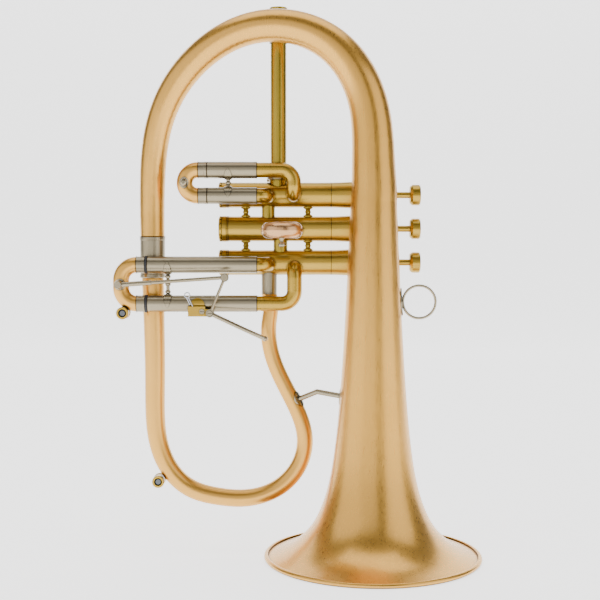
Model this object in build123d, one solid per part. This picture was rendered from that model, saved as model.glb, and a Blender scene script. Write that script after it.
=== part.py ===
from build123d import *
import math
import os

# Flugelhorn, in millimetres. Z is up and the bell rim stands on the floor, Z = 0.
# X runs across the instrument towards the finger buttons, Y runs away from the bell side.
# The bell axis lies in the plane Y = 0 and the valves in the plane Y = VALVE_Y.

# Bell
BELL_X = 56.0
WALL = 0.7
RIM_RADIUS = 80.0
RIM_WIRE_WIDTH = 2.8
RIM_WIRE_HEIGHT = 3.6
BELL_STATIONS = [
    (77.2, 2.2), (71.4, 4.2), (62.2, 8.0), (52.6, 15.0), (44.9, 24.0), (38.7, 36.0),
    (33.4, 52.0), (29.0, 75.0), (25.6, 105.0), (22.6, 145.0), (19.6, 200.0), (16.85, 262.0),
]
# Top bow, from the bell down to the valve side: x, y, z, outside radius
BOW_STATIONS = [
    (56.0, 0.0, 262.0, 16.85), (55.9, 0.0, 286.2, 15.92), (55.0, 0.1, 310.5, 15.09),
    (51.4, 0.8, 334.4, 14.33), (42.3, 2.3, 356.5, 13.64), (27.1, 4.4, 374.6, 13.02),
    (6.5, 6.9, 386.3, 12.46), (-17.5, 9.8, 390.4, 11.94), (-41.3, 13.3, 386.6, 11.48),
    (-62.8, 17.0, 375.8, 11.06), (-80.9, 20.5, 359.8, 10.68), (-94.7, 23.5, 339.9, 10.33),
    (-103.2, 26.1, 317.8, 10.00), (-107.2, 28.1, 294.3, 9.70), (-108.5, 29.5, 270.2, 9.41),
    (-108.7, 30.0, 245.7, 9.13), (-108.6, 30.0, 221.5, 8.85),
]
# Lower branch, from the bell ferrule round to the third valve
BRANCH_STATIONS = [
    (-108.6, 30.0, 221.0, 8.28), (-108.4, 30.0, 198.1, 8.12), (-107.9, 30.0, 175.2, 7.96),
    (-107.5, 30.0, 152.3, 7.79), (-107.4, 30.0, 129.2, 7.61), (-107.5, 30.0, 105.8, 7.44),
    (-105.5, 30.0, 82.9, 7.26), (-97.6, 30.0, 61.8, 7.09), (-81.6, 30.0, 45.9, 6.92),
    (-59.8, 30.0, 39.2, 6.75), (-36.5, 30.0, 38.2, 6.60), (-14.9, 30.0, 45.5, 6.45),
    (1.1, 30.0, 62.2, 6.32), (6.1, 30.0, 83.5, 6.20), (0.0, 30.0, 105.7, 6.09),
    (-10.4, 30.0, 126.5, 6.00), (-18.8, 30.0, 147.3, 5.94), (-21.1, 30.0, 170.5, 5.89),
    (-20.8, 30.0, 193.4, 5.87),
]
FERRULE_LOW = 205.7
FERRULE_HIGH = 236.7
FERRULE_RADIUS = 9.6

# Valves: the pistons move along X and are pressed towards -X
VALVE_Y = 30.0
VALVE_Z = [267.8, 242.5, 217.2]
CASING_RADIUS = 9.4
PISTON_RADIUS = 8.5
RUNNING_GAP = 0.05
CASING_LEFT = -51.3
CASING_RIGHT = 25.8
CAP_LEFT = -58.5
CAP_NOTCHES = 16
BALUSTER_RIGHT = 50.0
TOP_CAP_RIGHT = 66.6
FELT_THICKNESS = 2.0
STEM_RADIUS = 2.4
STROKE = 16.0
BUTTON_LEFT = TOP_CAP_RIGHT + FELT_THICKNESS + STROKE + 0.3
BUTTON_RADIUS = 7.8
BUTTON_HEIGHT = 7.9
PISTON_LEFT = -34.0
PISTON_RIGHT = 22.0

# Leadpipe
LEAD_X = -13.7
LEAD_RADIUS = 5.9
SLEEVE_TOP = 291.0
RECEIVER_BOTTOM = 381.0
RECEIVER_TOP = 407.0
RECEIVER_RADIUS = 6.35
MOUTHPIECE_BORE = 4.9

# Valve slides: the tubes lie in front of the valves
SLIDE_Y = 13.0
SLEEVE_RIGHT = -29.5
PORT_X = -2.3
FIRST_Z = (285.6, 266.7)
FIRST_RADIUS = 6.1
FIRST_SLEEVE_LEFT = -65.8
FIRST_BEND_X = -72.6
FIRST_APEX_X = -82.6
THIRD_Z = (215.8, 187.05)
THIRD_RADIUS = 6.2
THIRD_SLEEVE_LEFT = -110.2
THIRD_BEND_X = -118.5
THIRD_APEX_X = -130.1
BUMPER_LENGTH = 1.6
SECOND_X = (-19.8, -1.3)
SECOND_Z = 241.2
SECOND_RADIUS = 5.9
SECOND_SLEEVE_FRONT = -1.0
SECOND_BEND_Y = -8.6
LEG_WALL = 0.5

# Third-slide trigger, in front of the lower sleeve
CRANK_PIVOT = (-63.5, 180.5)
ROD_EYE = (-52.6, 206.8)
LEVER_END = (-23.3, 161.6)
ANCHOR_X = THIRD_APEX_X
ANCHOR_Z = (THIRD_Z[0] + THIRD_Z[1]) / 2
CRANK_Y = 1.9
ROD_Y = -0.6

# Hand parts and water keys
RING_X = 89.4
RING_Z = 189.0
RING_RADIUS = 11.9
RING_WIRE = 0.95
CROOK_KEY = (-128.5, 180.2)
BRANCH_KEY = (-104.9, 51.4)
KEY_RADIUS = 4.6

LEFT = (-1, 0, 0)
RIGHT = (1, 0, 0)
FRONT = (0, -1, 0)
BACK = (0, 1, 0)
UP = (0, 0, 1)
DOWN = (0, 0, -1)


def save(name, shape):
    export_step(shape, "parts/" + name + ".step")


def rod(start, direction, length, radius):
    """A solid cylinder from a start point along a direction."""
    place = Plane(origin=start, z_dir=direction)
    return place * Cylinder(radius, length, align=(Align.CENTER, Align.CENTER, Align.MIN))


def pipe(start, direction, length, radius, bore):
    """A straight tube from a start point along a direction."""
    return rod(start, direction, length, radius) - rod(start, direction, length, bore)


def turned(outline, start, direction):
    """A turned piece from (radius, distance) points, lying on the axis at both ends."""
    low = outline[0][1]
    high = outline[-1][1]
    points = [(0, low)] + list(outline) + [(0, high), (0, low)]
    face = make_face(Plane.XZ * Polyline(*points))
    return Plane(origin=start, z_dir=direction) * revolve(face, Axis.Z)


def waisted_post(start, direction, length, end_radius, neck_radius, bead_radius):
    """A post with wide ends, a thin neck and a bead at mid length."""
    lower = [
        (end_radius, 0), (end_radius, 0.14), (end_radius - 0.5, 0.20), (neck_radius + 0.4, 0.26),
        (neck_radius, 0.32), (neck_radius, 0.36), (bead_radius - 0.2, 0.42),
    ]
    upper = [(radius, 1 - part) for radius, part in reversed(lower)]
    outline = lower + [(bead_radius, 0.5)] + upper
    points = [(radius, part * length) for radius, part in outline]
    return turned(points, start, direction)


def between(start, end):
    """The direction and the distance from one point to another."""
    step = Vector(*end) - Vector(*start)
    return step.normalized(), step.length


def conical_tube(stations, start_direction, end_direction, inset):
    """A solid of round sections through the stations, smaller than them by the inset."""
    points = [station[:3] for station in stations]
    path = Spline(*points, tangents=[start_direction, end_direction])
    sections = []
    for station in stations:
        centre = Vector(*station[:3])
        along = path.tangent_at(centre)
        across = Vector(0, 1, 0) - along * along.Y
        place = Plane(origin=centre, x_dir=across.normalized(), z_dir=along)
        sections.append(place * Circle(station[3] - inset).face())
    return loft(sections)


def bent_tube(points, start_direction, end_direction, radius):
    """A solid bar along a smooth curve."""
    path = Spline(*points, tangents=[start_direction, end_direction])
    place = Plane(origin=path @ 0, z_dir=path % 0)
    return sweep(place * Circle(radius), path=path)


def casing_cores():
    """The space the three casings take up, cut from whatever meets them."""
    cores = [
        rod((CASING_LEFT, VALVE_Y, z), RIGHT, CASING_RIGHT - CASING_LEFT, CASING_RADIUS)
        for z in VALVE_Z
    ]
    return cores


def without(shape, cutters):
    for cutter in cutters:
        shape = shape - cutter
    return shape


def main_solid(shape):
    """The largest solid, when a cut leaves crumbs behind."""
    return max(shape.solids(), key=lambda solid: solid.volume)


def leaf(half_length, half_width):
    """A pointed leaf outline, long way along X."""
    upper = ThreePointArc((-half_length, 0), (0, half_width), (half_length, 0))
    lower = ThreePointArc((half_length, 0), (0, -half_width), (-half_length, 0))
    return make_face(upper + lower)


def saddle(centre, tube_radius, toward_post, reach, half_width):
    """A leaf-shaped plate wrapped round a tube that lies along X, front and back."""
    thickness = 0.7
    x, y, z = centre
    half_width = min(half_width, reach)
    shell = pipe((x - reach, y, z), RIGHT, 2 * reach, tube_radius + thickness, tube_radius)
    edge = Vector(x, y - 20, z + toward_post * tube_radius)
    place = Plane(origin=edge, x_dir=(0, 0, -toward_post), z_dir=BACK)
    return shell & extrude(place * leaf(reach, half_width), 40)


# Bell, bow and branch

def bell_flare():
    inner = [(radius - WALL, height) for radius, height in BELL_STATIONS]
    outer_curve = Spline(*BELL_STATIONS)
    inner_curve = Spline(*[(inner[0][0], inner[0][1] - 1.6)] + inner[1:])
    top = Line(BELL_STATIONS[-1], inner[-1])
    foot = Line(BELL_STATIONS[0], (inner[0][0], inner[0][1] - 1.6))
    face = make_face(Plane.XZ * (outer_curve + top + inner_curve + foot))
    solid = revolve(face, Axis.Z)
    outside = Cylinder(RIM_RADIUS + 5, 20) - Cylinder(RIM_RADIUS - RIM_WIRE_WIDTH, 20)
    return Location((BELL_X, 0, 0)) * (solid - outside)


def bow_core(inset=0.0):
    return conical_tube(BOW_STATIONS, UP, DOWN, inset)


def bell():
    return bell_flare() + (bow_core() - bow_core(WALL))


def rim_wire():
    """The half-round wire soldered round the edge of the bell, flat underneath."""
    inside = RIM_RADIUS - RIM_WIRE_WIDTH
    side = Polyline((RIM_RADIUS - 1.3, 0), (inside, 0), (inside, RIM_WIRE_HEIGHT))
    back = ThreePointArc(
        (inside, RIM_WIRE_HEIGHT), (RIM_RADIUS, RIM_WIRE_HEIGHT * 0.5), (RIM_RADIUS - 1.3, 0)
    )
    face = make_face(Plane.XZ * (side + back))
    return Location((BELL_X, 0, 0)) * revolve(face, Axis.Z)


def branch_core(inset=0.0):
    return conical_tube(BRANCH_STATIONS, DOWN, UP, inset)


def bell_ferrule():
    x, y = BRANCH_STATIONS[0][:2]
    body = turned(
        [
            (FERRULE_RADIUS - 0.5, 0), (FERRULE_RADIUS, 0.6), (FERRULE_RADIUS, 2.4),
            (FERRULE_RADIUS - 0.25, 2.8), (FERRULE_RADIUS - 0.25, 28.2),
            (FERRULE_RADIUS, 28.6), (FERRULE_RADIUS, 30.4), (FERRULE_RADIUS - 0.4, 31.0),
        ],
        (x, y, FERRULE_LOW), UP,
    )
    return main_solid(without(body, [branch_core(), bow_core()]))


def valve_exit_ferrule():
    x = BRANCH_STATIONS[-1][0]
    low = BRANCH_STATIONS[-1][2]
    tube = pipe((x, VALVE_Y, low), UP, VALVE_Z[2] - low, 5.8, 5.1)
    return main_solid(without(tube, casing_cores()))


# Valves

def casing(z):
    length = CASING_RIGHT - CASING_LEFT
    return pipe((CASING_LEFT, VALVE_Y, z), RIGHT, length, CASING_RADIUS, PISTON_RADIUS + RUNNING_GAP)


def baluster(z):
    """The upper casing, slightly wider towards the top cap."""
    length = BALUSTER_RIGHT - CASING_RIGHT
    wide = CASING_RADIUS + 0.7
    outline = [
        (CASING_RADIUS, 0), (CASING_RADIUS + 0.15, 5), (wide - 0.1, 14), (wide, 16), (wide, length),
    ]
    body = turned(outline, (CASING_RIGHT, VALVE_Y, z), RIGHT)
    return body - rod((CASING_RIGHT, VALVE_Y, z), RIGHT, length, PISTON_RADIUS + RUNNING_GAP)


def bottom_cap(z):
    """A hollow screw cap with two grooves and a notched rim."""
    length = CASING_LEFT - CAP_LEFT
    outline = [
        (8.6, 0), (9.3, 0.4), (9.75, 1.0), (9.75, 2.0), (9.4, 2.3), (9.75, 2.6),
        (9.75, 5.6), (9.4, 5.9), (9.75, 6.2), (9.75, length - 0.4), (9.1, length - 0.4),
        (9.1, length),
    ]
    body = turned(outline, (CAP_LEFT, VALVE_Y, z), RIGHT)
    hollow = rod((CAP_LEFT + 1.6, VALVE_Y, z), RIGHT, length, PISTON_RADIUS)
    vent = rod((CAP_LEFT - 1, VALVE_Y, z), RIGHT, 4, 1.6)
    body = body - hollow - vent
    for number in range(CAP_NOTCHES):
        turn = 360 * number / CAP_NOTCHES
        notch = Location((CAP_LEFT, 0, 9.9)) * Box(5.2, 1.3, 1.5)
        body = body - Location((0, VALVE_Y, z)) * Rotation(turn, 0, 0) * notch
    return body


def top_cap(z):
    length = TOP_CAP_RIGHT - BALUSTER_RIGHT
    outline = [
        (10.4, 0), (10.4, 1.4), (10.0, 1.7), (10.0, 2.1), (10.4, 2.4), (10.4, 4.2),
        (10.0, 4.5), (10.0, 4.9), (10.4, 5.2), (10.4, 6.8), (9.8, 7.6), (8.2, 8.6),
        (6.6, 10.2), (5.9, 12.4), (6.4, 14.6), (6.9, 15.6), (6.9, length - 0.3),
        (6.6, length),
    ]
    body = turned(outline, (BALUSTER_RIGHT, VALVE_Y, z), RIGHT)
    hollow = rod((BALUSTER_RIGHT, VALVE_Y, z), RIGHT, 5.5, PISTON_RADIUS)
    hole = rod((BALUSTER_RIGHT, VALVE_Y, z), RIGHT, length, STEM_RADIUS + 0.35)
    return body - hollow - hole


def cap_felt(z):
    return pipe(
        (TOP_CAP_RIGHT, VALVE_Y, z), RIGHT, FELT_THICKNESS, 6.3, STEM_RADIUS + 0.35
    )


def piston(z):
    """A piston with three cross ports, and the stem screwed into its top."""
    length = PISTON_RIGHT - PISTON_LEFT
    body = rod((PISTON_LEFT, VALVE_Y, z), RIGHT, length, PISTON_RADIUS)
    body = body + rod((PISTON_RIGHT, VALVE_Y, z), RIGHT, BUTTON_LEFT - PISTON_RIGHT, STEM_RADIUS)
    for offset, angle in ((10, 0), (24, 60), (38, 120)):
        turn = math.radians(angle)
        direction = (0, math.cos(turn), math.sin(turn))
        centre = Vector(PISTON_LEFT + offset, VALVE_Y, z)
        port = rod(centre - Vector(*direction) * 12, direction, 24, 5.4)
        body = body - port
    return body


def button(z):
    height = BUTTON_HEIGHT
    outline = [
        (6.2, 0), (6.6, 0.3), (BUTTON_RADIUS, 1.9), (BUTTON_RADIUS, height - 1.0),
        (BUTTON_RADIUS - 0.7, height - 0.2), (BUTTON_RADIUS - 1.2, height),
    ]
    body = turned(outline, (BUTTON_LEFT, VALVE_Y, z), RIGHT)
    return body - rod((BUTTON_LEFT + height - 1.2, VALVE_Y, z), RIGHT, 3, 5.6)


def button_pearl(z):
    start = (BUTTON_LEFT + BUTTON_HEIGHT - 1.2, VALVE_Y, z)
    return turned([(5.6, 0), (5.6, 0.9), (5.0, 1.3), (3.0, 1.5)], start, RIGHT)


def valve_spring(z):
    """A coil spring between the bottom cap and the piston."""
    wire = 0.45
    length = PISTON_LEFT - (CAP_LEFT + 1.6) - 2 * wire - 0.2
    path = Helix(pitch=length / 5, height=length, radius=6.9)
    place = Plane(origin=path @ 0, z_dir=path % 0)
    coil = sweep(place * Circle(wire), path=path, is_frenet=True)
    start = (CAP_LEFT + 1.6 + wire + 0.1, VALVE_Y, z)
    return Plane(origin=start, z_dir=RIGHT) * coil


def knuckles():
    """The short passages from one casing to the next."""
    made = []
    for x, radius, upper, lower in ((-21.4, 5.0, 0, 1), (-12.3, 5.3, 1, 2)):
        length = VALVE_Z[upper] - VALVE_Z[lower]
        tube = pipe((x, VALVE_Y, VALVE_Z[lower]), UP, length, radius, radius - 0.8)
        made.append(main_solid(without(tube, casing_cores())))
    return made


def valve_posts():
    """Waisted posts that brace each casing to the next."""
    made = []
    for x in (-38.3, 8.4):
        for upper in (0, 1):
            low = VALVE_Z[upper + 1] + CASING_RADIUS - 0.7
            high = VALVE_Z[upper] - CASING_RADIUS + 0.7
            post = waisted_post((x, VALVE_Y, low), UP, high - low, 3.6, 1.9, 2.4)
            made.append(main_solid(without(post, casing_cores())))
    return made


# Leadpipe

def leadpipe_sleeve():
    low = VALVE_Z[0]
    tube = pipe((LEAD_X, VALVE_Y, low), UP, SLEEVE_TOP - low, 7.0, 5.8)
    return main_solid(without(tube, casing_cores()))


def leadpipe_clamp():
    """The knurled clamp ring round the leadpipe sleeve, with its screw lug behind."""
    ring = pipe((LEAD_X, VALVE_Y, 279.4), UP, 3.4, 8.7, 7.0)
    lug = Location((LEAD_X, VALVE_Y + 10.0, 281.1)) * Box(4.4, 4.2, 3.4)
    slit = Location((LEAD_X, VALVE_Y + 10.4, 281.1)) * Box(0.8, 5.0, 3.6)
    return ring + lug - slit


def clamp_screw():
    shank = rod((LEAD_X - 2.2, VALVE_Y + 10.6, 281.1), LEFT, 5.0, 1.1)
    head = rod((LEAD_X - 7.2, VALVE_Y + 10.6, 281.1), LEFT, 1.8, 3.2)
    return shank + head


def leadpipe():
    """A plain tube with a thinner end that slides in the sleeve."""
    foot = 279.0
    bore = 5.1
    shoulder = SLEEVE_TOP + 0.3
    body = rod((LEAD_X, VALVE_Y, shoulder), UP, RECEIVER_TOP - 22 - shoulder, LEAD_RADIUS)
    tenon = rod((LEAD_X, VALVE_Y, foot), UP, shoulder - foot, 5.8 - RUNNING_GAP)
    hole = rod((LEAD_X, VALVE_Y, foot - 1), UP, 200, bore)
    return body + tenon - hole


def mouthpiece_receiver():
    low = RECEIVER_BOTTOM
    outline = [
        (LEAD_RADIUS + 0.15, 0), (RECEIVER_RADIUS, 0.8), (RECEIVER_RADIUS, 23.4),
        (RECEIVER_RADIUS + 0.35, 23.8), (RECEIVER_RADIUS + 0.35, 25.6),
        (RECEIVER_RADIUS, RECEIVER_TOP - low),
    ]
    body = turned(outline, (LEAD_X, VALVE_Y, low), UP)
    top_of_pipe = RECEIVER_TOP - 22
    socket = rod((LEAD_X, VALVE_Y, low), UP, top_of_pipe - low, LEAD_RADIUS)
    return body - socket - rod((LEAD_X, VALVE_Y, low), UP, 40, MOUTHPIECE_BORE)


# First slide

def first_sleeves():
    length = SLEEVE_RIGHT - FIRST_SLEEVE_LEFT
    start = FIRST_SLEEVE_LEFT
    bore = FIRST_RADIUS - LEG_WALL
    return [pipe((start, SLIDE_Y, z), RIGHT, length, FIRST_RADIUS, bore) for z in FIRST_Z]


def rounded_path(points, radii):
    """Straight lines through the points, with a round bend at each inner point."""
    corners = [Vector(*point) for point in points]
    edges = []
    here = corners[0]
    for corner, following, radius in zip(corners[1:], corners[2:], radii):
        before = (corner - here).normalized()
        after = (following - corner).normalized()
        turn = math.acos(before.dot(after))
        trim = radius * math.tan(turn / 2)
        depth = radius / math.cos(turn / 2) - radius
        enter = corner - before * trim
        leave = corner + after * trim
        crest = corner + (after - before).normalized() * depth
        if (enter - here).length > 0.01:
            edges.append(Line(here, enter))
        edges.append(ThreePointArc(enter, crest, leave))
        here = leave
    edges.append(Line(here, corners[-1]))
    return Wire(edges)


def port_tube(points, radii, radius):
    path = rounded_path(points, radii)
    place = Plane(origin=points[0], z_dir=RIGHT)
    outer = sweep(place * Circle(radius), path=path)
    inner = sweep(place * Circle(radius - 0.8), path=path)
    return main_solid(without(outer - inner, casing_cores()))


def first_ports():
    x = SLEEVE_RIGHT
    z_up, z_low = FIRST_Z
    end = PORT_X
    upper = [(x, SLIDE_Y, z_up), (end, SLIDE_Y, z_up), (end, SLIDE_Y, 268.4), (end, 28.0, 267.0)]
    lower = [(x, SLIDE_Y, z_low), (x + 7.6, SLIDE_Y, z_low), (x + 8.2, 26.0, z_low + 0.4)]
    return [
        port_tube(upper, (9.0, 7.0), FIRST_RADIUS - LEG_WALL - 0.1),
        port_tube(lower, (7.2,), FIRST_RADIUS - LEG_WALL - 0.1),
    ]


def slide_legs(levels, left, right, radius):
    """The inner tubes of a slide, running inside its sleeves."""
    outer = radius - LEG_WALL - RUNNING_GAP
    tubes = [
        pipe((left, SLIDE_Y, z), RIGHT, right - left, outer, outer - LEG_WALL)
        for z in levels
    ]
    return tubes


def crook_core(levels, bend_x, apex_x, radius):
    """The solid inside the outer face of a crook: a U-bend with a short straight back."""
    high, low = levels
    bend = bend_x - apex_x
    points = [
        (bend_x, SLIDE_Y, high), (apex_x, SLIDE_Y, high), (apex_x, SLIDE_Y, low),
        (bend_x, SLIDE_Y, low),
    ]
    bend = min(bend, (high - low) / 2) - 0.01
    path = rounded_path(points, (bend, bend))
    return sweep(Plane(origin=points[0], z_dir=LEFT) * Circle(radius), path=path)


def crook(levels, bend_x, apex_x, radius):
    wall = 0.9
    outer = crook_core(levels, bend_x, apex_x, radius)
    return outer - crook_core(levels, bend_x, apex_x, radius - wall)


def ferrules(levels, left, right, radius, bore):
    """Rings that join the crook to the legs of its slide."""
    length = right - left
    rim = radius + 0.1
    outline = [
        (radius - 0.3, 0), (radius - 0.05, 0.3), (radius - 0.05, length - 2.2), (rim, length - 2.0),
        (rim, length - 0.3), (rim - 0.3, length),
    ]
    made = []
    for z in levels:
        body = turned(outline, (left, SLIDE_Y, z), RIGHT)
        made.append(body - rod((left, SLIDE_Y, z), RIGHT, length, bore))
    return made


def first_crook():
    return crook(FIRST_Z, FIRST_BEND_X, FIRST_APEX_X, FIRST_RADIUS - 0.2)


def first_ferrules():
    right = FIRST_SLEEVE_LEFT - 0.3
    bore = FIRST_RADIUS - LEG_WALL - RUNNING_GAP
    return ferrules(FIRST_Z, FIRST_BEND_X, right, FIRST_RADIUS, bore)


def pull_knob(base, direction, scale=1.0):
    """A small waisted pull knob."""
    outline = [
        (2.0 * scale, 0), (1.5 * scale, 0.8 * scale), (1.2 * scale, 1.8 * scale),
        (1.4 * scale, 2.8 * scale), (2.3 * scale, 3.7 * scale), (2.5 * scale, 4.6 * scale),
        (2.2 * scale, 5.4 * scale), (1.2 * scale, 5.9 * scale),
    ]
    return turned(outline, base, direction)


def first_knob():
    """The knob on the front of the first crook, standing on a diamond plate."""
    middle = (FIRST_Z[0] + FIRST_Z[1]) / 2
    x = FIRST_APEX_X
    core = crook_core(FIRST_Z, FIRST_BEND_X, FIRST_APEX_X, FIRST_RADIUS - 0.2)
    plate_core = crook_core(FIRST_Z, FIRST_BEND_X, FIRST_APEX_X, FIRST_RADIUS + 0.6)
    place = Plane(origin=(x, SLIDE_Y, middle), x_dir=(0, 0, 1), z_dir=FRONT)
    plate = plate_core & extrude(place * leaf(4.4, 3.4), 8)
    knob = pull_knob((x, SLIDE_Y - FIRST_RADIUS + 0.4, middle), FRONT)
    return main_solid(plate + knob - core)


def slide_brace(x, levels, radius, reach):
    """A beaded post between two sleeves, with a leaf-shaped foot wrapped round each."""
    high, low = levels
    upper = saddle((x, SLIDE_Y, high), radius, -1, reach, 2.8)
    lower = saddle((x, SLIDE_Y, low), radius, 1, reach, 2.8)
    start = low + radius - 0.2
    length = high - radius + 0.2 - start
    outline = [(2.3, 0.0), (2.3, 0.9), (1.5, 1.3)]
    beads = max(1, round(length / 5.5))
    for number in range(beads):
        middle = length * (number + 0.5) / beads
        outline += [(1.3, middle - 1.3), (1.9, middle - 0.8), (2.15, middle)]
        outline += [(1.9, middle + 0.8), (1.3, middle + 1.3)]
    outline += [(1.5, length - 1.3), (2.3, length - 0.9), (2.3, length)]
    post = turned(outline, (x, SLIDE_Y, start), UP)
    cores = [rod((x - 12, SLIDE_Y, z), RIGHT, 24, radius) for z in levels]
    return main_solid(without(upper + lower + post, cores))


# Second slide, pointing to the front

def second_sleeves():
    made = []
    for x in SECOND_X:
        length = VALVE_Y - SECOND_SLEEVE_FRONT
        tube = pipe(
            (x, SECOND_SLEEVE_FRONT, SECOND_Z), BACK, length,
            SECOND_RADIUS, SECOND_RADIUS - LEG_WALL,
        )
        made.append(main_solid(without(tube, casing_cores())))
    return made


def second_legs():
    outer = SECOND_RADIUS - LEG_WALL - RUNNING_GAP
    length = 17.5 - SECOND_BEND_Y
    return [
        pipe((x, SECOND_BEND_Y, SECOND_Z), BACK, length, outer, outer - LEG_WALL)
        for x in SECOND_X
    ]


def second_core(radius):
    left, right = SECOND_X
    middle = (left + right) / 2
    path = ThreePointArc(
        (left, SECOND_BEND_Y, SECOND_Z),
        (middle, SECOND_BEND_Y - (right - left) / 2, SECOND_Z),
        (right, SECOND_BEND_Y, SECOND_Z),
    )
    place = Plane(origin=(left, SECOND_BEND_Y, SECOND_Z), z_dir=FRONT)
    return sweep(place * Circle(radius), path=path)


def second_crook():
    return second_core(SECOND_RADIUS + 0.1) - second_core(SECOND_RADIUS - 0.8)


def second_ferrules():
    length = SECOND_SLEEVE_FRONT - 0.3 - SECOND_BEND_Y
    rim = SECOND_RADIUS + 0.4
    outline = [
        (rim - 0.4, 0), (rim - 0.2, 0.4), (rim - 0.2, length - 2.2), (rim, length - 1.9),
        (rim, length - 0.3), (rim - 0.3, length),
    ]
    bore = SECOND_RADIUS - LEG_WALL - RUNNING_GAP
    made = []
    for x in SECOND_X:
        start = (x, SECOND_BEND_Y, SECOND_Z)
        made.append(turned(outline, start, BACK) - rod(start, BACK, length, bore))
    return made


def second_knob():
    x = sum(SECOND_X) / 2
    y = SECOND_BEND_Y - (SECOND_X[1] - SECOND_X[0]) / 2
    base = (x, y, SECOND_Z - SECOND_RADIUS + 0.3)
    return main_solid(pull_knob(base, DOWN, 1.1) - second_core(SECOND_RADIUS + 0.1))


# Third slide

def third_sleeves():
    length = SLEEVE_RIGHT - THIRD_SLEEVE_LEFT
    bore = THIRD_RADIUS - LEG_WALL
    return [
        pipe((THIRD_SLEEVE_LEFT, SLIDE_Y, z), RIGHT, length, THIRD_RADIUS, bore)
        for z in THIRD_Z
    ]


def third_ports():
    x = SLEEVE_RIGHT
    z_up, z_low = THIRD_Z
    end = PORT_X + 0.6
    upper = [(x, SLIDE_Y, z_up), (x + 7.8, SLIDE_Y, z_up), (x + 8.4, 26.0, z_up + 0.5)]
    lower = [(x, SLIDE_Y, z_low), (end, SLIDE_Y, z_low), (end, SLIDE_Y, 212.4), (end, 28.0, 214.0)]
    return [
        port_tube(upper, (7.4,), THIRD_RADIUS - LEG_WALL - 0.1),
        port_tube(lower, (9.2, 7.0), THIRD_RADIUS - LEG_WALL - 0.1),
    ]


def third_ferrules():
    right = THIRD_SLEEVE_LEFT - 0.3 - BUMPER_LENGTH
    bore = THIRD_RADIUS - LEG_WALL - RUNNING_GAP
    return ferrules(THIRD_Z, THIRD_BEND_X, right, THIRD_RADIUS, bore)


def third_bumpers():
    """Soft rings on the legs that stop the slide quietly."""
    start = THIRD_SLEEVE_LEFT - 0.3 - BUMPER_LENGTH
    bore = THIRD_RADIUS - LEG_WALL - RUNNING_GAP
    return [
        pipe((start, SLIDE_Y, z), RIGHT, BUMPER_LENGTH, THIRD_RADIUS + 0.45, bore)
        for z in THIRD_Z
    ]


def third_core(radius=THIRD_RADIUS - 0.3):
    return crook_core(THIRD_Z, THIRD_BEND_X, THIRD_APEX_X, radius)


def third_crook():
    return crook(THIRD_Z, THIRD_BEND_X, THIRD_APEX_X, THIRD_RADIUS - 0.3)


# Water keys

def key_housing(x, y, z, cutter):
    """A short barrel open to the front, soldered across the outside of a bend."""
    outline = [
        (KEY_RADIUS - 0.5, 0), (KEY_RADIUS, 0.5), (KEY_RADIUS, 2.2), (KEY_RADIUS - 0.35, 2.6),
        (KEY_RADIUS - 0.35, 10.6), (KEY_RADIUS, 11.0), (KEY_RADIUS, 12.5), (KEY_RADIUS - 0.5, 13.0),
    ]
    body = turned(outline, (x, y - 6.5, z), BACK)
    chamber = rod((x, y - 6.5, z), BACK, 11.5, 3.0)
    drain = rod((x, y + 3, z), DOWN, 12, 0.8)
    return main_solid(body - chamber - drain - cutter)


def key_plunger(x, y, z):
    return turned([(2.0, 0), (2.95, 0.7), (2.95, 6.5)], (x, y - 5.7, z), BACK)


def branch_key_housing():
    return key_housing(BRANCH_KEY[0], VALVE_Y, BRANCH_KEY[1], branch_core())


def crook_key_housing():
    return key_housing(CROOK_KEY[0], SLIDE_Y, CROOK_KEY[1], third_core())


# Trigger

def trigger_bracket():
    """A brass block under the lower sleeve, held by a round plate soldered to it."""
    x = CRANK_PIVOT[0] - 9.5
    sleeve = rod((x - 20, SLIDE_Y, THIRD_Z[1]), RIGHT, 40, THIRD_RADIUS)
    shell = pipe((x - 8, SLIDE_Y, THIRD_Z[1]), RIGHT, 16, THIRD_RADIUS + 0.8, THIRD_RADIUS)
    plate = shell & rod((x, SLIDE_Y, THIRD_Z[1] - 0.8), FRONT, 10, 5.2)
    block = Location((x - 0.5, 5.6, 181.7)) * Box(12.6, 4.6, 7.4)
    hub = rod((CRANK_PIVOT[0], 7.9, CRANK_PIVOT[1]), FRONT, 4.6, 2.9)
    link = Location((CRANK_PIVOT[0] - 3.0, 5.6, 180.7)) * Box(5.0, 4.6, 5.4)
    pin_hole = rod((CRANK_PIVOT[0], 9, CRANK_PIVOT[1]), FRONT, 12, 1.3)
    return main_solid(plate + block + link + hub - pin_hole - sleeve)


def bracket_screw():
    x = CRANK_PIVOT[0] - 6.0
    head = rod((x, 3.3, 181.7), FRONT, 0.9, 1.9)
    slot = Location((x, 2.4, 181.7)) * Box(3.0, 0.8, 0.5)
    return head - slot


def pivot_pin():
    """The screw the crank turns on."""
    x, z = CRANK_PIVOT
    shank = rod((x, 7.9, z), FRONT, 7.9 - (CRANK_Y - 1.3), 1.3)
    head = rod((x, CRANK_Y - 1.3, z), FRONT, 1.0, 1.9)
    slot = Location((x, CRANK_Y - 2.3, z)) * Box(3.0, 0.8, 0.5)
    return shank + head - slot


def trigger_spring():
    """A bent wire on the bracket with a loop at its free end."""
    loop = Plane(origin=(-80.2, 3.0, 193.8), x_dir=(1, 0, 0), z_dir=FRONT) * Torus(1.9, 0.4)
    near = Vector(-79.4, 3.0, 192.1)
    foot = Vector(-76.2, 3.6, 185.4)
    direction, length = between(near, foot)
    strands = rod(near, direction, length - 0.1, 0.4)
    second = rod(near + Vector(-1.5, 0, 0.4), direction, length - 0.9, 0.4)
    return main_solid(loop + strands + second)


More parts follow.
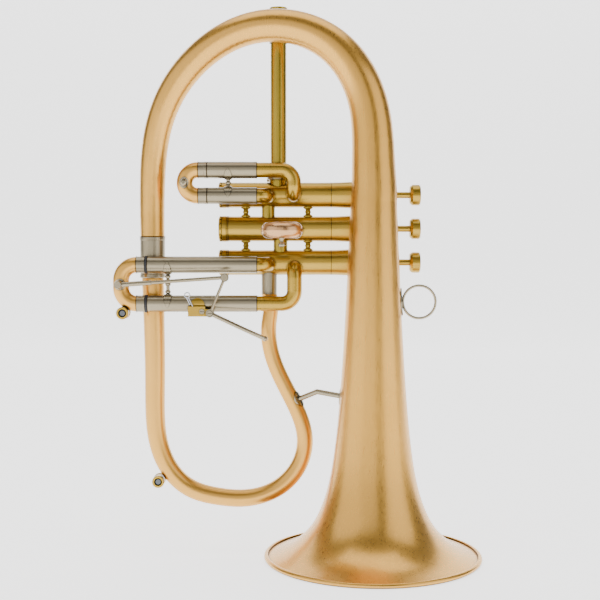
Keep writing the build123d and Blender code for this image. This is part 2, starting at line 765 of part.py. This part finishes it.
def crank():
    """The bell crank: a slim arm up to the rod and a round lever down to the finger."""
    x, z = CRANK_PIVOT
    eye_x, eye_z = ROD_EYE
    hub = rod((x, CRANK_Y + 1.1, z), FRONT, 2.2, 3.0)
    eye = rod((eye_x, CRANK_Y + 1.1, eye_z), FRONT, 2.2, 2.7)
    direction, length = between((x, CRANK_Y, z), (eye_x, CRANK_Y, eye_z))
    arm = rod((x, CRANK_Y, z), direction, length, 1.05)
    pin = rod((eye_x, CRANK_Y, eye_z), FRONT, 4.6, 0.8)
    pin_head = rod((eye_x, CRANK_Y - 4.2, eye_z), FRONT, 1.1, 2.6)
    end_x, end_z = LEVER_END
    lever_y = CRANK_Y - 0.5
    start = (x + 2.1, lever_y, z - 0.98)
    points = [start, (-44, lever_y, 171.35), (end_x, lever_y + 4.0, end_z)]
    lever = bent_tube(points, (0.905, 0, -0.425), (0.85, 0.33, -0.40), 1.6)
    tip = Location((end_x, lever_y + 4.0, end_z)) * Sphere(2.0)
    hole = rod((x, CRANK_Y + 4, z), FRONT, 8, 1.35)
    return main_solid(hub + eye + arm + pin + pin_head + lever + tip - hole)


def push_rod():
    """The rod from the crook to the crank, with an eye at the crank and a ball at the crook."""
    eye_x, eye_z = ROD_EYE
    start = (ANCHOR_X, ROD_Y, ANCHOR_Z)
    direction, length = between(start, (eye_x, ROD_Y, eye_z))
    bar = rod(start, direction, length - 2, 1.35)
    sleeve = rod(start, direction, 24, 1.8)
    ball = Location(start) * Sphere(3.2)
    eye = rod((eye_x, ROD_Y + 0.8, eye_z), FRONT, 1.9, 3.1)
    hole = rod((eye_x, ROD_Y + 3, eye_z), FRONT, 8, 1.9)
    seat = rod((ANCHOR_X, ROD_Y + 6, ANCHOR_Z), FRONT, 12, 1.25)
    return main_solid(bar + sleeve + ball + eye - hole - seat)


def rod_anchor():
    """The stud on the front of the crook that carries the ball end of the rod."""
    x = ANCHOR_X
    z = ANCHOR_Z
    core = third_core()
    plate_core = third_core(THIRD_RADIUS + 0.5)
    place = Plane(origin=(x, SLIDE_Y, z), x_dir=(0, 0, 1), z_dir=FRONT)
    plate = plate_core & extrude(place * Circle(4.2), 9)
    collar = rod((x, SLIDE_Y - 5, z), FRONT, 4.8, 2.2)
    stud = rod((x, SLIDE_Y - 5, z), FRONT, 12.8, 1.2)
    head = rod((x, ROD_Y - 3.5, z), FRONT, 1.2, 2.6)
    return main_solid(plate + collar + stud + head - core)


# Braces and ring on the bell

def finger_ring():
    """A finger ring on a short post and a leaf-shaped foot on the bell."""
    ring = Plane(origin=(RING_X, 0, RING_Z), x_dir=(1, 0, 0), z_dir=FRONT) * Torus(RING_RADIUS, RING_WIRE)
    bell_radius = 20.25
    foot_x = BELL_X + bell_radius
    post = rod((foot_x - 1, 0, RING_Z), RIGHT, 2.0, 3.6)
    place = Plane(origin=(BELL_X, 0, RING_Z), x_dir=(0, 0, 1), z_dir=RIGHT)
    prism = extrude(place * leaf(10.0, 5.0), 40)
    shell = bell_skin(0.9) - bell_skin(0.0)
    plate = shell & prism
    return main_solid(ring + post + plate - bell_skin(0.0))


def bell_skin(extra):
    """The bell as a solid body, grown by a little all round."""
    points = [(radius + extra, height) for radius, height in BELL_STATIONS]
    curve = Spline(*points)
    rest = Polyline(points[-1], (0, points[-1][1]), (0, points[0][1]), points[0])
    face = make_face(Plane.XZ * (curve + rest))
    return Location((BELL_X, 0, 0)) * revolve(face, Axis.Z)


def bell_brace():
    """A bent rod from the lower branch to the bell, with a leaf-shaped foot at each end."""
    branch_foot = Vector(-2.6, 30.0, 112.0)
    bell_foot = Vector(33.6, 8.6, 118.6)
    elbow = Vector(15.2, 16.5, 121.0)
    first, first_length = between(branch_foot, elbow)
    second, second_length = between(elbow, bell_foot)
    arm = rod(branch_foot, first, first_length, 2.0) + rod(elbow, second, second_length, 2.0)
    arm = arm + Location(elbow) * Sphere(2.0)
    outward = Vector(bell_foot.X - BELL_X, bell_foot.Y, 0).normalized()
    place = Plane(origin=(BELL_X, 0, 118.6), x_dir=(0, 0, 1), z_dir=outward)
    bell_plate = (bell_skin(0.9) - bell_skin(0.0)) & extrude(place * leaf(7.5, 4.5), 40)
    start = branch_foot + first * 3
    place = Plane(origin=start, x_dir=(0.45, 0, -0.89), z_dir=first)
    grown = conical_tube(BRANCH_STATIONS[13:], (0.0, 0, 1.0), UP, -0.9)
    branch_plate = grown & extrude(place * leaf(6.2, 4.2), 8)
    core = conical_tube(BRANCH_STATIONS[13:], (0.0, 0, 1.0), UP, 0.0)
    return main_solid(arm + bell_plate + branch_plate - bell_skin(0.0) - core)


def build():
    os.makedirs("parts", exist_ok=True)
    save("bell", bell())
    save("bell_rim_wire", rim_wire())
    save("bell_ferrule", bell_ferrule())
    save("lower_branch", branch_core() - branch_core(WALL))
    save("valve_exit_ferrule", valve_exit_ferrule())
    for number, z in enumerate(VALVE_Z, start=1):
        save(f"piston_{number}", piston(z))
        save(f"button_{number}", button(z))
        save(f"button_pearl_{number}", button_pearl(z))
        save(f"valve_spring_{number}", valve_spring(z))
    save("casings", Compound([casing(z) for z in VALVE_Z]))
    save("balusters", Compound([baluster(z) for z in VALVE_Z]))
    save("bottom_caps", Compound([bottom_cap(z) for z in VALVE_Z]))
    save("top_caps", Compound([top_cap(z) for z in VALVE_Z]))
    save("cap_felts", Compound([cap_felt(z) for z in VALVE_Z]))
    save("valve_knuckles", Compound(knuckles()))
    save("valve_posts", Compound(valve_posts()))
    save("leadpipe_sleeve", leadpipe_sleeve())
    save("leadpipe_clamp", leadpipe_clamp())
    save("clamp_screw", clamp_screw())
    save("leadpipe", leadpipe())
    save("mouthpiece_receiver", mouthpiece_receiver())
    save("first_sleeves", Compound(first_sleeves()))
    save("first_ports", Compound(first_ports()))
    save("first_legs", Compound(slide_legs(FIRST_Z, FIRST_BEND_X, -34.0, FIRST_RADIUS)))
    save("first_crook", first_crook())
    save("first_ferrules", Compound(first_ferrules()))
    save("first_knob", first_knob())
    save("first_brace", slide_brace(-50.5, FIRST_Z, FIRST_RADIUS, 7.4))
    save("second_sleeves", Compound(second_sleeves()))
    save("second_legs", Compound(second_legs()))
    save("second_crook", second_crook())
    save("second_ferrules", Compound(second_ferrules()))
    save("second_knob", second_knob())
    save("third_sleeves", Compound(third_sleeves()))
    save("third_ports", Compound(third_ports()))
    save("third_legs", Compound(slide_legs(THIRD_Z, THIRD_BEND_X, -40.0, THIRD_RADIUS)))
    save("third_crook", third_crook())
    save("third_ferrules", Compound(third_ferrules()))
    save("third_bumpers", Compound(third_bumpers()))
    save("third_brace", slide_brace(-95.3, THIRD_Z, THIRD_RADIUS, 9.0))
    save("rod_anchor", rod_anchor())
    save("push_rod", push_rod())
    save("crank", crank())
    save("trigger_screws", Compound([pivot_pin(), bracket_screw()]))
    save("trigger_bracket", trigger_bracket())
    save("trigger_spring", trigger_spring())
    save("branch_key_housing", branch_key_housing())
    save("branch_key_plunger", key_plunger(BRANCH_KEY[0], VALVE_Y, BRANCH_KEY[1]))
    save("crook_key_housing", crook_key_housing())
    save("crook_key_plunger", key_plunger(CROOK_KEY[0], SLIDE_Y, CROOK_KEY[1]))
    save("finger_ring", finger_ring())
    save("bell_brace", bell_brace())


build()
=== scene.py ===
import math

import bpy
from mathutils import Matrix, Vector

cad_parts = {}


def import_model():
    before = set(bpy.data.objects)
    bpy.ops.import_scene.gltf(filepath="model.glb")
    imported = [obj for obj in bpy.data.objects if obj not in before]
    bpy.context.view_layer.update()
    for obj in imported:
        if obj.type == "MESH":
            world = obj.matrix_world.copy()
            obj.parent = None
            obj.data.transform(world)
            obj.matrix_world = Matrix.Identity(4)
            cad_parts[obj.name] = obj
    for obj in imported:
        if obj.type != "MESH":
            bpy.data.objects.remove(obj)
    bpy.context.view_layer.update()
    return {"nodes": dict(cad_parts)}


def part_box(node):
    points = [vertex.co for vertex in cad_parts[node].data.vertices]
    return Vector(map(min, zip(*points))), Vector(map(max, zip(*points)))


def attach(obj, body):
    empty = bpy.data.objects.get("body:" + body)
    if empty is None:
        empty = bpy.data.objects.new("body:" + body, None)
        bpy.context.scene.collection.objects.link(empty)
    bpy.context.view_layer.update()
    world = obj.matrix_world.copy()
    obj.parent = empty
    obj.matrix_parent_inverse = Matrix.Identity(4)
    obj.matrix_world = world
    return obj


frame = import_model()
NODES = frame["nodes"]

# How far the brushing grain is drawn out along each axis
ALONG_X = (0.06, 1.0, 1.0)
ALONG_Z = (1.0, 1.0, 0.06)
EVEN = (1.0, 1.0, 1.0)

# Noise scales of the metal, lengths in metres, and how rough the lacquer is
CLOUD_SCALE = 14.0
GRAIN_SCALE = 900.0
FINE_GRAIN_SCALE = 2600.0
GRAIN_HEIGHT = 0.000012
LACQUER_ROUGHNESS = 0.12
# Painted corner shade: how far ambient occlusion looks, in metres, and how dark the shaded colour
# gets
CORNER_REACH = 0.0022
CORNER_DARKENING = 0.22


# Materials

def node_tree(name):
    """A new material with its tree and its shader node."""
    material = bpy.data.materials.new(name)
    material.use_nodes = True
    tree = material.node_tree
    shader = tree.nodes["Principled BSDF"]
    return material, tree, shader


def add(tree, kind, **inputs):
    """A new node with some of its inputs set."""
    node = tree.nodes.new(kind)
    for key, value in inputs.items():
        node.inputs[key.replace("_", " ")].default_value = value
    return node


def noise(tree, stretch, scale, detail=4.0):
    """Noise in object space, drawn out along the axes with a small stretch."""
    place = tree.nodes.new("ShaderNodeTexCoord")
    mapping = tree.nodes.new("ShaderNodeMapping")
    mapping.inputs["Scale"].default_value = stretch
    tree.links.new(place.outputs["Object"], mapping.inputs["Vector"])
    texture = add(tree, "ShaderNodeTexNoise", Scale=scale, Detail=detail, Roughness=0.6)
    tree.links.new(mapping.outputs["Vector"], texture.inputs["Vector"])
    return texture.outputs["Fac"]


def ramp(tree, value, low, high, dark, light):
    """Turns a value between low and high into a colour between dark and light."""
    node = tree.nodes.new("ShaderNodeValToRGB")
    node.color_ramp.elements[0].position = low
    node.color_ramp.elements[1].position = high
    node.color_ramp.elements[0].color = (*dark, 1.0)
    node.color_ramp.elements[1].color = (*light, 1.0)
    tree.links.new(value, node.inputs["Fac"])
    return node.outputs["Color"]


def spread(tree, value, low, high):
    """Maps a value from the middle of its range onto low to high."""
    node = add(tree, "ShaderNodeMapRange")
    node.inputs["From Min"].default_value = 0.3
    node.inputs["From Max"].default_value = 0.7
    node.inputs["To Min"].default_value = low
    node.inputs["To Max"].default_value = high
    tree.links.new(value, node.inputs["Value"])
    return node.outputs["Result"]


def bump(tree, shader, height, strength, distance):
    """Raises the surface by a value, up to a distance in metres."""
    node = add(tree, "ShaderNodeBump", Strength=strength, Distance=distance)
    tree.links.new(height, node.inputs["Height"])
    tree.links.new(node.outputs["Normal"], shader.inputs["Normal"])


def paint_corner_shade(tree, color, shade):
    """Paints shade into a colour: darkens it in the narrow corners and joints between parts, where
    ambient occlusion finds nearby surfaces.
    """
    corner = add(tree, "ShaderNodeAmbientOcclusion", Distance=CORNER_REACH)
    corner.samples = 16
    mix = tree.nodes.new("ShaderNodeMix")
    mix.data_type = "RGBA"
    mix.inputs["A"].default_value = (*shade, 1.0)
    fade = add(tree, "ShaderNodeMapRange")
    fade.inputs["From Min"].default_value = 0.45
    fade.inputs["From Max"].default_value = 0.92
    tree.links.new(corner.outputs["AO"], fade.inputs["Value"])
    tree.links.new(fade.outputs["Result"], mix.inputs["Factor"])
    tree.links.new(color, mix.inputs["B"])
    return mix.outputs["Result"]


def metal(name, dark, light, rough, stretch, coat=0.25, grain=GRAIN_SCALE):
    """Brushed metal: cloudy tint, a fine grain along the brushing, and clear lacquer."""
    material, tree, shader = node_tree(name)
    shader.inputs["Metallic"].default_value = 1.0
    clouds = noise(tree, EVEN, CLOUD_SCALE, 2.0)
    # Painted shade: the colour darkens towards a dark brown in corners and joints between parts,
    # found by ambient occlusion
    shade = tuple(channel * CORNER_DARKENING for channel in dark)
    color = paint_corner_shade(tree, ramp(tree, clouds, 0.25, 0.75, dark, light), shade)
    tree.links.new(color, shader.inputs["Base Color"])
    lines = noise(tree, stretch, grain, 5.0)
    tree.links.new(spread(tree, lines, rough - 0.05, rough + 0.06), shader.inputs["Roughness"])
    bump(tree, shader, lines, 0.10, GRAIN_HEIGHT)
    shader.inputs["Coat Weight"].default_value = coat
    shader.inputs["Coat Roughness"].default_value = LACQUER_ROUGHNESS
    return material


def piston_metal(name):
    """Nickel plate on the piston and lacquered brass on the stem outside the top cap."""
    material = metal(name, NICKEL_DARK, NICKEL_LIGHT, 0.24, ALONG_X)
    tree = material.node_tree
    shader = tree.nodes["Principled BSDF"]
    plate = shader.inputs["Base Color"].links[0].from_socket
    place = tree.nodes.new("ShaderNodeTexCoord")
    split = tree.nodes.new("ShaderNodeSeparateXYZ")
    tree.links.new(place.outputs["Object"], split.inputs["Vector"])
    beyond = tree.nodes.new("ShaderNodeMath")
    beyond.operation = "GREATER_THAN"
    beyond.inputs[1].default_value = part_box("top_caps")[0][0]
    tree.links.new(split.outputs["X"], beyond.inputs[0])
    mix = tree.nodes.new("ShaderNodeMix")
    mix.data_type = "RGBA"
    mix.inputs["B"].default_value = (*YELLOW_DARK, 1.0)
    tree.links.new(beyond.outputs["Value"], mix.inputs["Factor"])
    tree.links.new(plate, mix.inputs["A"])
    tree.links.new(mix.outputs["Result"], shader.inputs["Base Color"])
    return material


def soft(name, dark, light, rough, scale, strength):
    """Rubber, felt or pearl: an even grain without metal."""
    material, tree, shader = node_tree(name)
    grain = noise(tree, EVEN, scale, 6.0)
    tree.links.new(ramp(tree, grain, 0.3, 0.7, dark, light), shader.inputs["Base Color"])
    tree.links.new(spread(tree, grain, rough - 0.1, rough + 0.1), shader.inputs["Roughness"])
    bump(tree, shader, grain, strength, 0.0003)
    return material


GOLD_DARK = (0.70, 0.365, 0.062)
GOLD_LIGHT = (0.76, 0.410, 0.082)
YELLOW_DARK = (0.42, 0.255, 0.028)
YELLOW_LIGHT = (0.51, 0.325, 0.045)
NICKEL_DARK = (0.28, 0.235, 0.150)
NICKEL_LIGHT = (0.36, 0.305, 0.205)

MATERIALS = {
    "gold_bell": metal("gold_bell", GOLD_DARK, GOLD_LIGHT, 0.30, ALONG_Z),
    "gold_tube": metal("gold_tube", GOLD_DARK, GOLD_LIGHT, 0.32, EVEN, grain=FINE_GRAIN_SCALE),
    "yellow_x": metal("yellow_x", YELLOW_DARK, YELLOW_LIGHT, 0.30, ALONG_X),
    "yellow_z": metal("yellow_z", (0.33, 0.225, 0.022), (0.41, 0.285, 0.034), 0.28, ALONG_Z),
    "yellow_tube": metal(
        "yellow_tube", YELLOW_DARK, YELLOW_LIGHT, 0.28, EVEN, grain=FINE_GRAIN_SCALE
    ),
    "red_brass": metal(
        "red_brass", (0.56, 0.29, 0.12), (0.66, 0.38, 0.18), 0.26, EVEN, grain=FINE_GRAIN_SCALE
    ),
    "nickel_x": metal("nickel_x", NICKEL_DARK, NICKEL_LIGHT, 0.30, ALONG_X),
    "nickel_z": metal("nickel_z", NICKEL_DARK, NICKEL_LIGHT, 0.30, ALONG_Z),
    "nickel_fine": metal("nickel_fine", NICKEL_DARK, NICKEL_LIGHT, 0.24, EVEN),
    "piston": piston_metal("piston"),
    "steel": metal("steel", (0.45, 0.46, 0.48), (0.62, 0.63, 0.65), 0.18, EVEN, coat=0.0),
    "plunger": metal("plunger", (0.10, 0.11, 0.12), (0.16, 0.17, 0.18), 0.34, EVEN, coat=0.0),
    "rubber": soft("rubber", (0.008, 0.008, 0.009), (0.02, 0.02, 0.022), 0.62, 1500.0, 0.3),
    "felt": soft("felt", (0.03, 0.03, 0.035), (0.09, 0.09, 0.10), 0.92, 2500.0, 0.8),
    "pearl": soft("pearl", (0.72, 0.70, 0.66), (0.90, 0.89, 0.86), 0.18, 260.0, 0.05),
}

FINISH = {
    "gold_bell": ["bell", "bell_rim_wire"],
    "gold_tube": ["lower_branch", "third_crook", "first_crook"],
    "yellow_x": [
        "casings", "balusters", "bottom_caps", "top_caps", "button_1", "button_2", "button_3",
        "trigger_bracket",
    ],
    "yellow_z": [
        "leadpipe", "leadpipe_sleeve", "mouthpiece_receiver", "valve_knuckles", "valve_posts",
    ],
    "yellow_tube": ["first_ports", "third_ports", "crook_key_housing", "branch_key_housing"],
    "red_brass": ["second_crook"],
    "nickel_x": [
        "first_sleeves", "third_sleeves", "first_ferrules", "third_ferrules", "first_legs",
        "third_legs",
    ],
    "piston": ["piston_1", "piston_2", "piston_3"],
    "nickel_z": ["bell_ferrule", "valve_exit_ferrule"],
    "nickel_fine": [
        "leadpipe_clamp", "clamp_screw", "first_brace", "third_brace", "first_knob",
        "second_sleeves", "second_legs", "second_ferrules", "second_knob", "rod_anchor",
        "finger_ring", "bell_brace", "push_rod",
        "crank", "trigger_screws",
    ],
    "steel": ["trigger_spring", "valve_spring_1", "valve_spring_2", "valve_spring_3"],
    "plunger": ["branch_key_plunger", "crook_key_plunger"],
    "rubber": ["third_bumpers"],
    "felt": ["cap_felts"],
    "pearl": ["button_pearl_1", "button_pearl_2", "button_pearl_3"],
}

for finish, names in FINISH.items():
    for name in names:
        data = NODES[name].data
        data.materials.clear()
        data.materials.append(MATERIALS[finish])


# Fine dark seams where one sleeve, ferrule or cap meets the next tube

SEAM_WIRE = 0.00020
SEAM_METAL = metal("seam_metal", (0.060, 0.036, 0.014), (0.105, 0.066, 0.028), 0.45, EVEN, coat=0.0)
RING_STEPS = 64
WIRE_STEPS = 8
AXES = {"x": (1, 2, 0), "y": (2, 0, 1), "z": (0, 1, 2)}


def torus(vertices, faces, centre, axis, radius, wire):
    """Adds a ring of round wire about one axis to a mesh's lists."""
    across, up, along = AXES[axis]
    first = len(vertices)
    for step in range(RING_STEPS):
        turn = 2 * math.pi * step / RING_STEPS
        for side in range(WIRE_STEPS):
            tilt = 2 * math.pi * side / WIRE_STEPS
            reach = radius + wire * math.cos(tilt)
            point = list(centre)
            point[across] += reach * math.cos(turn)
            point[up] += reach * math.sin(turn)
            point[along] += wire * math.sin(tilt)
            vertices.append(point)
    for step in range(RING_STEPS):
        for side in range(WIRE_STEPS):
            here = first + step * WIRE_STEPS
            there = first + (step + 1) % RING_STEPS * WIRE_STEPS
            beside = (side + 1) % WIRE_STEPS
            faces.append((here + side, there + side, there + beside, here + beside))


def seams(name, rings, body):
    """One piece made of seam rings, each given as centre, axis and radius."""
    vertices = []
    faces = []
    for centre, axis, radius in rings:
        torus(vertices, faces, centre, axis, radius, SEAM_WIRE)
    mesh = bpy.data.meshes.new(name)
    mesh.from_pydata(vertices, [], faces)
    mesh.materials.append(SEAM_METAL)
    for polygon in mesh.polygons:
        polygon.use_smooth = True
    obj = bpy.data.objects.new(name, mesh)
    bpy.context.scene.collection.objects.link(obj)
    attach(obj, body)


def pair_rings(node, places):
    """Rings on the two equal tubes of a slide node, one above the other, along X."""
    low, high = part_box(node)
    radius = (high[1] - low[1]) / 2
    middle = (high[1] + low[1]) / 2
    rings = []
    for x in places:
        for z in (low[2] + radius, high[2] - radius):
            rings.append(((x, middle, z), "x", radius))
    return rings


def upright_ring(node, at_top):
    low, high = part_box(node)
    radius = (high[0] - low[0]) / 2
    z = high[2] if at_top else low[2]
    return ((low[0] + radius, (low[1] + high[1]) / 2, z), "z", radius)


def casing_rings():
    low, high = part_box("casings")
    radius = (high[1] - low[1]) / 2
    rings = []
    for valve in ("piston_1", "piston_2", "piston_3"):
        piston_low, piston_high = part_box(valve)
        z = (piston_low[2] + piston_high[2]) / 2
        for x in (low[0], high[0]):
            rings.append(((x, (low[1] + high[1]) / 2, z), "x", radius))
    return rings


seams("casing_seams", casing_rings(), "horn")
for slide, sleeves, ferrules in (
    ("first_slide", "first_sleeves", "first_ferrules"),
    ("third_slide", "third_sleeves", "third_ferrules"),
):
    sleeve_low, sleeve_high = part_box(sleeves)
    ferrule_low, ferrule_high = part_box(ferrules)
    fixed = pair_rings(sleeves, (sleeve_low[0], sleeve_high[0]))
    moving = pair_rings(ferrules, (ferrule_low[0],))
    seams(sleeves + "_seams", fixed, "horn")
    seams(ferrules + "_seams", moving, slide)
seams("bell_ferrule_seam", [upright_ring("bell_ferrule", True)], "horn")
seams("lead_sleeve_seam", [upright_ring("leadpipe_sleeve", True)], "horn")
seams(
    "receiver_seam", [upright_ring("mouthpiece_receiver", False)], "leadpipe_slide"
)


# Floor, light and camera

def stage_material():
    material, tree, shader = node_tree("stage_paper")
    grain = noise(tree, EVEN, 60.0, 5.0)
    tree.links.new(
        ramp(tree, grain, 0.3, 0.7, (0.86, 0.86, 0.86), (0.90, 0.90, 0.90)),
        shader.inputs["Base Color"],
    )
    tree.links.new(spread(tree, grain, 0.75, 0.9), shader.inputs["Roughness"])
    bump(tree, shader, grain, 0.05, 0.0002)
    shader.inputs["Emission Color"].default_value = (1.0, 1.0, 1.0, 1.0)
    shader.inputs["Emission Strength"].default_value = 1.9
    return material


def backdrop():
    """A pale floor that curves up into a wall behind the object."""
    width = 6.0
    near = -3.0
    far = 1.6
    radius = 1.0
    height = 3.0
    profile = [(near, 0.0), (far, 0.0)]
    for step in range(1, 25):
        angle = math.pi / 2 * step / 24
        profile.append((far + radius * math.sin(angle), radius - radius * math.cos(angle)))
    profile.append((far + radius, height))
    vertices = []
    for y, z in profile:
        vertices.append((-width / 2, y, z))
        vertices.append((width / 2, y, z))
    faces = []
    for row in range(len(profile) - 1):
        faces.append((2 * row, 2 * row + 1, 2 * row + 3, 2 * row + 2))
    mesh = bpy.data.meshes.new("backdrop")
    mesh.from_pydata(vertices, [], faces)
    mesh.materials.append(stage_material())
    obj = bpy.data.objects.new("backdrop", mesh)
    bpy.context.scene.collection.objects.link(obj)
    for polygon in mesh.polygons:
        polygon.use_smooth = True


def area_light(name, position, target, size, power, color=(1.0, 1.0, 1.0)):
    data = bpy.data.lights.new(name, "AREA")
    data.shape = "RECTANGLE"
    data.size, data.size_y = size
    data.energy = power
    data.color = color
    obj = bpy.data.objects.new(name, data)
    obj.visible_camera = False
    obj.location = position
    direction = Vector(target) - Vector(position)
    obj.rotation_euler = direction.to_track_quat("-Z", "Y").to_euler()
    bpy.context.scene.collection.objects.link(obj)


def world(strength):
    scene_world = bpy.data.worlds.new("studio")
    scene_world.use_nodes = True
    background = scene_world.node_tree.nodes["Background"]
    background.inputs["Color"].default_value = (1.0, 1.0, 1.0, 1.0)
    background.inputs["Strength"].default_value = strength
    bpy.context.scene.world = scene_world


# Metres, millimetres of lens and sensor, and degrees
CAMERA_PLACE = (0.0024, -0.860, 0.2341)
CAMERA_LENS = 70.8
CAMERA_SENSOR = 36.0
CAMERA_TILT_DOWN = 2.91


def camera():
    data = bpy.data.cameras.new("camera")
    data.lens = CAMERA_LENS
    data.sensor_width = CAMERA_SENSOR
    obj = bpy.data.objects.new("camera", data)
    obj.location = CAMERA_PLACE
    obj.rotation_euler = (math.radians(90.0 - CAMERA_TILT_DOWN), 0.0, 0.0)
    bpy.context.scene.collection.objects.link(obj)
    bpy.context.scene.camera = obj


backdrop()
world(0.22)

# Each panel is given by its place, the point it faces, its width and height, and its power
CENTRE = (0.0, 0.0, 0.22)
area_light("softbox_left", (-1.24, -0.66, 0.50), CENTRE, (1.6, 1.7), 10.0)
area_light("softbox_front", (-0.32, -1.50, 0.45), CENTRE, (1.1, 1.6), 4.8)
area_light("softbox_right", (1.24, -0.72, 0.50), CENTRE, (1.4, 1.7), 10.5)
area_light("top", (0.0, 0.1, 1.6), CENTRE, (1.6, 1.2), 12.0)
camera()
